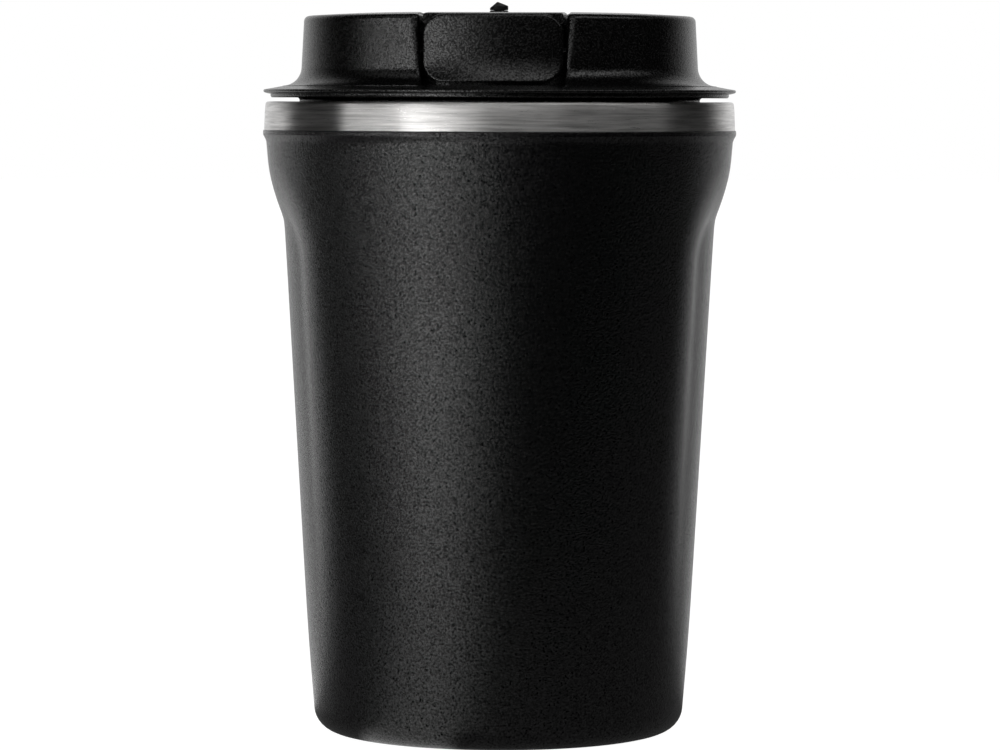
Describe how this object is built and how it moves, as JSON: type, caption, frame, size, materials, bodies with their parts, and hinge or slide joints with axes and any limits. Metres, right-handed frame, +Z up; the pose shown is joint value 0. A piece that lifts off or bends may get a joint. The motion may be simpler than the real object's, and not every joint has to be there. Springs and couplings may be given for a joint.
{
  "type": "insulated tumbler with lid",
  "caption": "Double-wall steel travel tumbler with powder-coated tapered body, side grip recesses, bare steel rim band and a black screw lid with a flip cap.",
  "frame": {"origin": "middle of the foot, on the surface that the tumbler stands on", "axes": "+Z up along the cup's axis, -Y towards the flip cap's front panel and the drinker, +X to the right seen from the front"},
  "size_m": [0.0884, 0.0884, 0.1364],
  "materials": {
    "coated_steel": "black powder coat with a fine even texture",
    "rim_steel": "bare stainless steel, brushed round the cup",
    "plate_steel": "bare pressed stainless steel",
    "solder_glass": "fused glass bead",
    "getter_alloy": "sintered grey pill",
    "lid_plastic": "black moulded polypropylene, satin with a fine grain",
    "black_silicone": "matte black silicone"
  },
  "bodies": {
    "cup": {"outer_wall": "coated_steel", "inner_liner": "rim_steel", "liner_base": "rim_steel", "vacuum_base": "plate_steel", "base_cover": "plate_steel", "seal_bead": "solder_glass", "getter": "getter_alloy"},
    "lid_seal": {"lid_gasket": "black_silicone"},
    "lid": {"lid_insert": "lid_plastic", "lid_shell": "lid_plastic", "hinge_pin": "plate_steel"},
    "flip": {"flip_cap": "lid_plastic", "mouth_plug": "black_silicone", "vent_plug": "black_silicone"}
  },
  "joints": [
    {"name": "lid_lift", "type": "slide", "parent": "cup", "child": "lid_seal", "axis": [0, 0, 1], "range_m": [0, 0.018]},
    {"name": "lid_turn", "type": "hinge", "parent": "lid_seal", "child": "lid", "pos_m": [0, 0, 0.118], "axis": [0, 0, 1], "range_deg": [0, 360]},
    {"name": "flip_hinge", "type": "hinge", "parent": "lid", "child": "flip", "pos_m": [0.00043, 0.01199, 0.131], "axis": [-0.9994, 0.0358, 0], "range_deg": [0, 150]}
  ],
  "couplings": [
    {"joint": "lid_lift", "follows": "lid_turn", "m_per_rad": 0.0028648}
  ]
}
